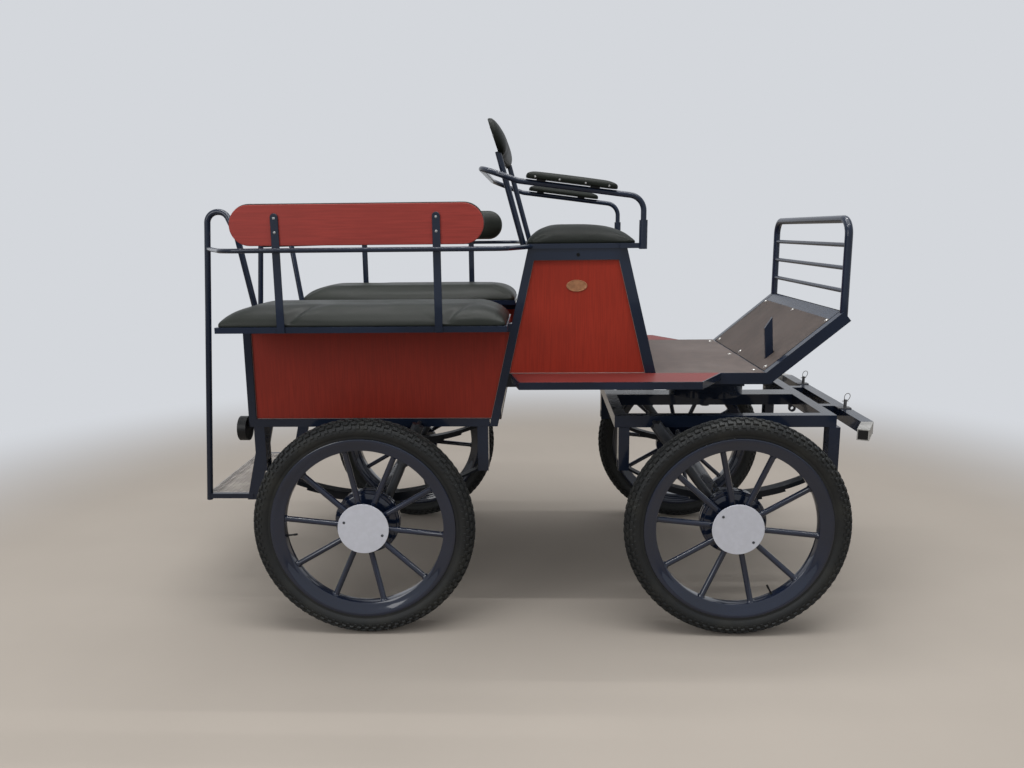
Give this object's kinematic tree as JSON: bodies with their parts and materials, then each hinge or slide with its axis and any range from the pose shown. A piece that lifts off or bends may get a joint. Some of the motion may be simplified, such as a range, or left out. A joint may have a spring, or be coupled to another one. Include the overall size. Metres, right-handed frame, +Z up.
{
  "type": "marathon carriage",
  "caption": "Four-wheeled driving carriage with a steered front axle, driver's box seat, side-facing rear benches, guard rails and entry step.",
  "frame": {"origin": "on the ground below the middle of the carriage's length and width", "axes": "+X forward towards the splinter bar, +Y to the carriage's left, +Z up"},
  "size_m": [2.5425, 1.428, 1.851],
  "materials": {
    "navy_paint": "dark navy gloss paint on steel",
    "red_board": "brick red painted plywood, satin",
    "plywood": "brown-grey film-faced plywood",
    "vinyl": "dark olive-black upholstery vinyl",
    "tyre": "dusty black rubber",
    "cap_disc": "matt aluminium sheet",
    "badge": "blank bronze-toned oval plate",
    "step_mesh": "galvanised step mesh",
    "lamp": "black lamp housing",
    "spring_steel": "painted spring steel",
    "damper": "dark grey paint",
    "end_cap": "light grey end cap",
    "bright_steel": "zinc plated"
  },
  "bodies": {
    "root": {"floor_frame": "navy_paint", "floor_board": "plywood", "ledge_boards": "red_board", "footboard_frame": "navy_paint", "footboard": "plywood", "brake_pedal": "navy_paint", "dash_rail": "navy_paint", "box_frame": "navy_paint", "box_side_panels": "red_board", "box_end_panels": "red_board", "badge_plates": "badge", "seat_base": "navy_paint", "driver_cushion": "vinyl", "arm_sockets": "navy_paint", "armrest_bow": "navy_paint", "arm_pads": "vinyl", "back_pad": "vinyl", "rear_frame": "navy_paint", "rear_side_panels": "red_board", "well_floor": "plywood", "well_front_wall": "red_board", "bench_frames": "navy_paint", "bench_cushion_right": "vinyl", "bench_cushion_left": "vinyl", "backrest_boards": "red_board", "backrest_pads": "vinyl", "backrest_bars": "navy_paint", "entry_handles": "navy_paint", "rear_step": "navy_paint", "step_mesh": "step_mesh", "guard_rails": "navy_paint", "rear_lamps": "lamp", "rear_axle": "navy_paint", "rear_springs": "spring_steel", "rear_dampers": "damper", "turntable_upper": "navy_paint"},
    "undercarriage": {"undercarriage_frame": "navy_paint", "turntable_lower": "navy_paint", "splinter_bar": "navy_paint", "bar_end_caps": "end_cap", "trace_pins": "bright_steel", "front_axle": "navy_paint", "front_springs": "spring_steel", "front_dampers": "damper"},
    "wheel_front_right": {"tyre_front_right": "tyre", "wheel_front_right": "navy_paint", "hub_cap_front_right": "cap_disc"},
    "wheel_front_left": {"tyre_front_left": "tyre", "wheel_front_left": "navy_paint", "hub_cap_front_left": "cap_disc"},
    "wheel_rear_right": {"tyre_rear_right": "tyre", "wheel_rear_right": "navy_paint", "hub_cap_rear_right": "cap_disc"},
    "wheel_rear_left": {"tyre_rear_left": "tyre", "wheel_rear_left": "navy_paint", "hub_cap_rear_left": "cap_disc"}
  },
  "joints": [
    {"name": "steer", "type": "hinge", "parent": "root", "child": "undercarriage", "pos_m": [0.76125, 0, 0.79], "axis": [0, 0, 1], "range_deg": [-60, 60]},
    {"name": "spin_front_right", "type": "hinge", "parent": "undercarriage", "child": "wheel_front_right", "pos_m": [0.76125, -0.6195, 0.4], "axis": [0, 1, 0], "continuous": true},
    {"name": "spin_front_left", "type": "hinge", "parent": "undercarriage", "child": "wheel_front_left", "pos_m": [0.76125, 0.6195, 0.4], "axis": [0, 1, 0], "continuous": true},
    {"name": "spin_rear_right", "type": "hinge", "parent": "root", "child": "wheel_rear_right", "pos_m": [-0.56775, -0.6195, 0.4], "axis": [0, 1, 0], "continuous": true},
    {"name": "spin_rear_left", "type": "hinge", "parent": "root", "child": "wheel_rear_left", "pos_m": [-0.56775, 0.6195, 0.4], "axis": [0, 1, 0], "continuous": true}
  ]
}
